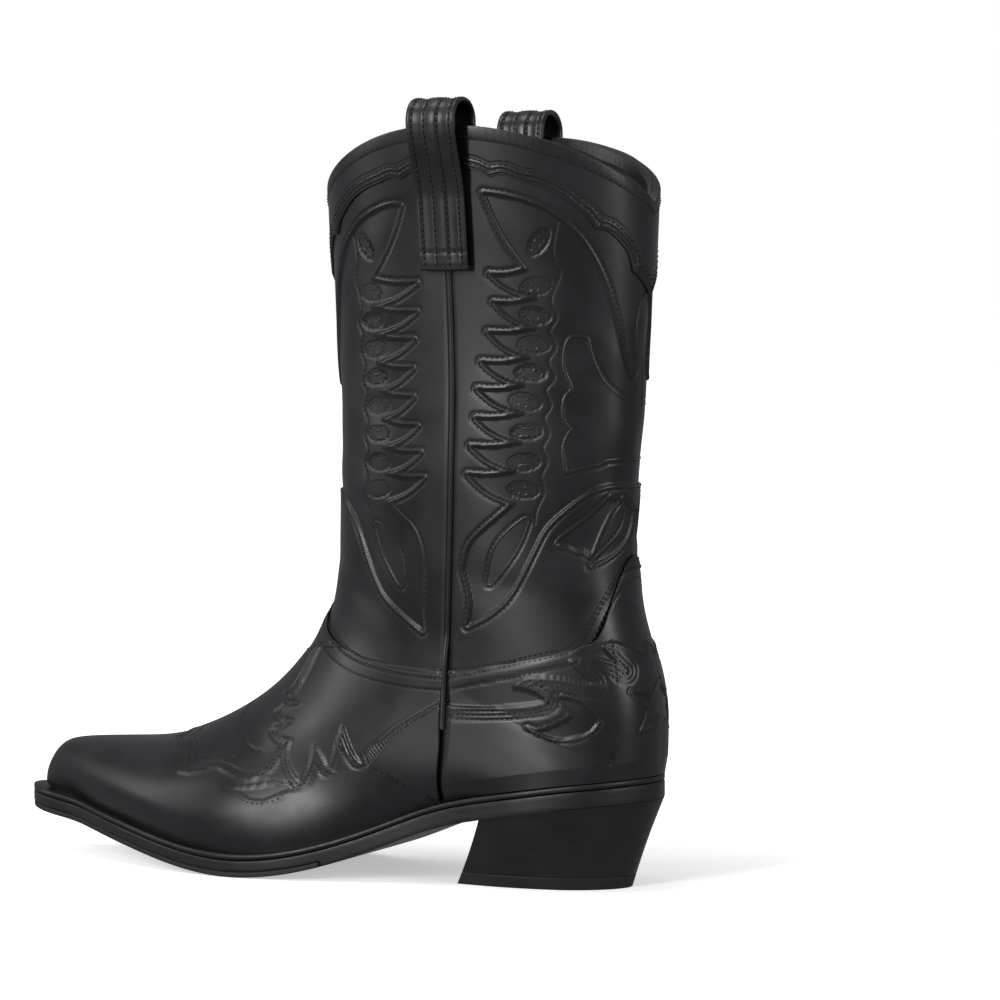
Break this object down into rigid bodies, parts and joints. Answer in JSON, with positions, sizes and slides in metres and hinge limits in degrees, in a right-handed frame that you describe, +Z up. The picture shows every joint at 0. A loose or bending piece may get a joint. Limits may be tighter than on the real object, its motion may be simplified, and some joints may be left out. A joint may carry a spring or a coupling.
{
  "type": "western boot",
  "caption": "Pull-on western boot for a left foot, with a snipped toe, a stacked underslung heel, side pull straps and stitched overlays on the shaft.",
  "frame": {"origin": "middle of the flat tread face under the heel, on the ground", "axes": "+Z up the shaft, -X towards the toe, -Y towards the outer side of the foot"},
  "size_m": [0.3195, 0.1151, 0.343],
  "materials": {
    "black_calf": "smooth black semi-gloss calf",
    "lining_leather": "matt dark lining leather",
    "stiffener_board": "matt leatherboard",
    "sole_leather": "black edge dressing, burnished",
    "insole_leather": "matt vegetable tanned",
    "cork": "matt cork",
    "rubber": "matt moulded",
    "steel": "plain steel"
  },
  "bodies": {
    "root": {"front_shaft": "black_calf", "back_shaft": "black_calf", "vamp": "black_calf", "counter_cover": "black_calf", "side_piping_outer": "black_calf", "side_piping_inner": "black_calf", "top_binding_front": "black_calf", "top_binding_back": "black_calf", "collar_front": "black_calf", "collar_back": "black_calf", "wing_front_outer": "black_calf", "wing_back_outer": "black_calf", "wing_front_inner": "black_calf", "wing_back_inner": "black_calf", "pull_strap_outer": "black_calf", "pull_strap_inner": "black_calf", "front_lining": "lining_leather", "back_lining": "lining_leather", "sock_lining": "lining_leather", "toe_puff": "stiffener_board", "heel_stiffener": "stiffener_board", "welt": "sole_leather", "outsole": "sole_leather", "heel_lift_1": "sole_leather", "heel_lift_2": "sole_leather", "heel_lift_3": "sole_leather", "heel_lift_4": "sole_leather", "heel_wedge_1": "sole_leather", "heel_wedge_2": "sole_leather", "insole": "insole_leather", "cork_filler": "cork", "half_sole": "rubber", "rubber_top_lift": "rubber", "steel_shank": "steel", "heel_nail_1": "steel", "heel_nail_2": "steel", "heel_nail_3": "steel", "heel_nail_4": "steel", "heel_nail_5": "steel"}
  },
  "joints": []
}
